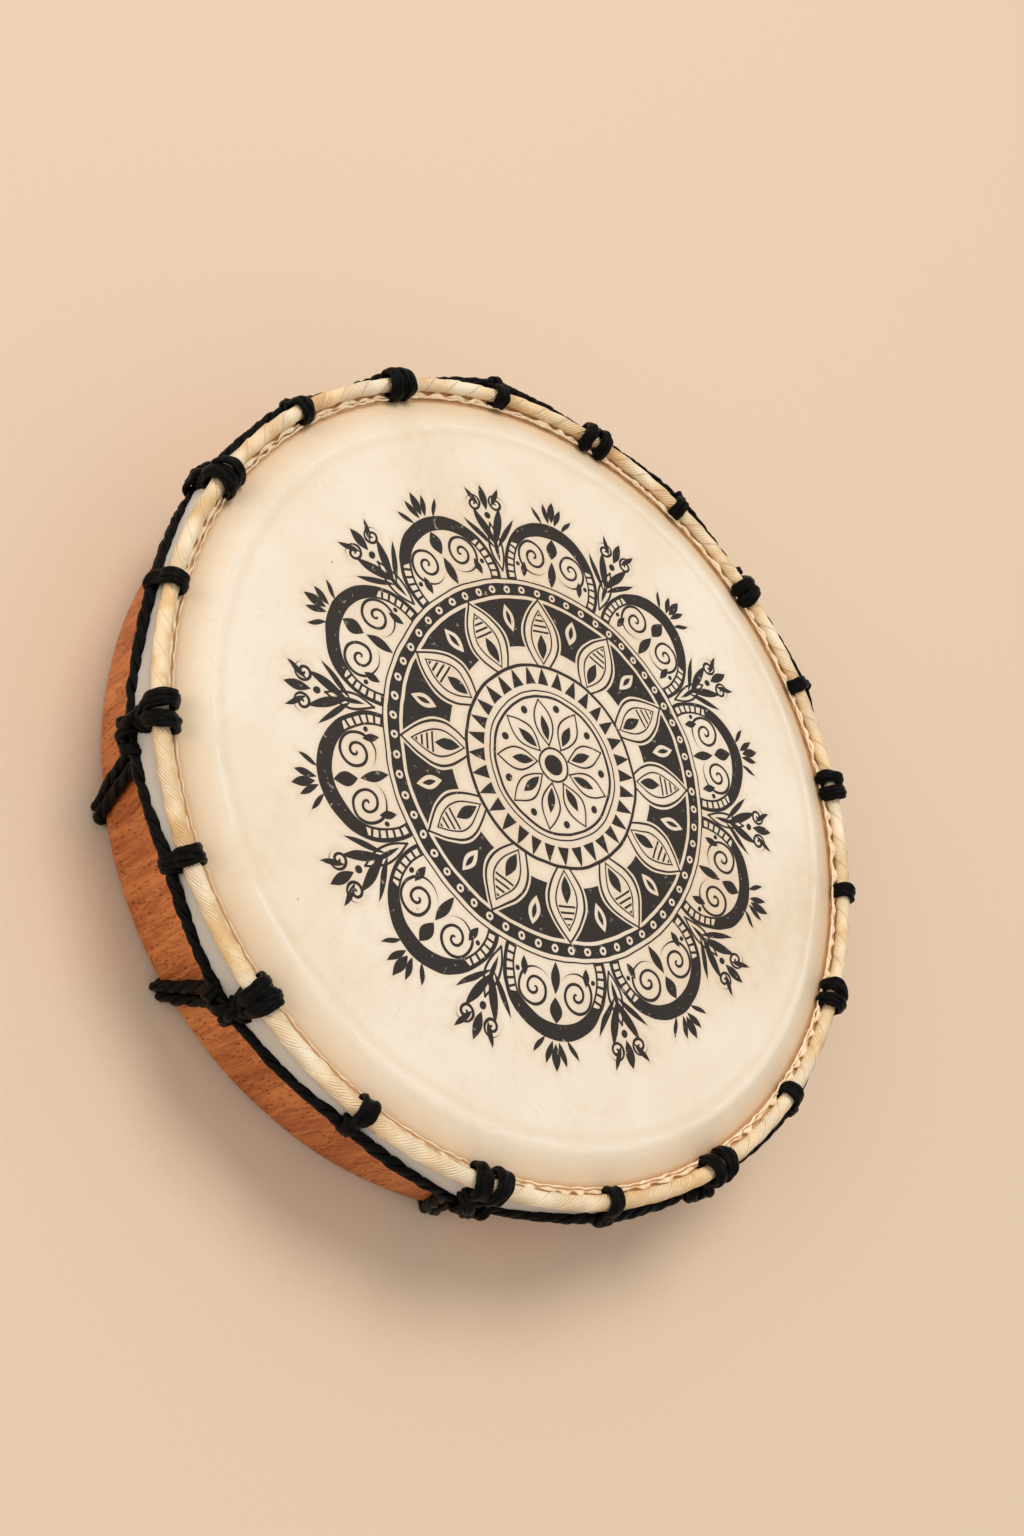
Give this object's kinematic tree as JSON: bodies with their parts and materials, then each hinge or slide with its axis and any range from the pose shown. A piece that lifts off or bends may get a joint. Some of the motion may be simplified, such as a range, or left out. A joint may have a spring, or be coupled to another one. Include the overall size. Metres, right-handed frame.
{
  "type": "shaman drum",
  "caption": "Round frame drum: a rawhide head with a printed roundel on an open wooden shell, held by a wrapped hoop and black cord lacing, with a grip ring inside.",
  "frame": {"origin": "on the drum's axis, at the height of the surface that the drum lies on", "axes": "+Z along the drum's axis, out of the head; +Y away from the viewer in the picture's view"},
  "size_m": [0.4233, 0.4248, 0.0824],
  "materials": {
    "wood": "red-brown hardwood, satin, with short dark pores along the grain",
    "rawhide": "cream rawhide, smooth and slightly mottled, with a dark line print on the head",
    "wrapping": "pale strip with fine slanting ribs",
    "cord": "black filament cord, satin",
    "binding": "black cord binding, satin"
  },
  "bodies": {
    "root": {"shell": "wood", "skin": "rawhide", "wrapped_hoop": "wrapping", "running_cord": "cord", "grip_ring": "binding", "small_loop_01": "cord", "small_loop_02": "cord", "small_loop_03": "cord", "small_loop_04": "cord", "small_loop_05": "cord", "small_loop_06": "cord", "small_loop_07": "cord", "small_loop_08": "cord", "small_loop_09": "cord", "small_loop_10": "cord", "large_hitch_01": "cord", "large_hitch_02": "cord", "large_hitch_03": "cord", "large_hitch_04": "cord", "large_hitch_05": "cord", "large_hitch_06": "cord", "large_hitch_07": "cord", "large_hitch_08": "cord", "large_hitch_09": "cord", "large_hitch_10": "cord", "tension_cord_01": "cord", "tension_cord_02": "cord", "tension_cord_03": "cord", "tension_cord_04": "cord", "tension_cord_05": "cord", "tension_cord_06": "cord", "tension_cord_07": "cord", "tension_cord_08": "cord", "tension_cord_09": "cord", "tension_cord_10": "cord"}
  },
  "joints": []
}
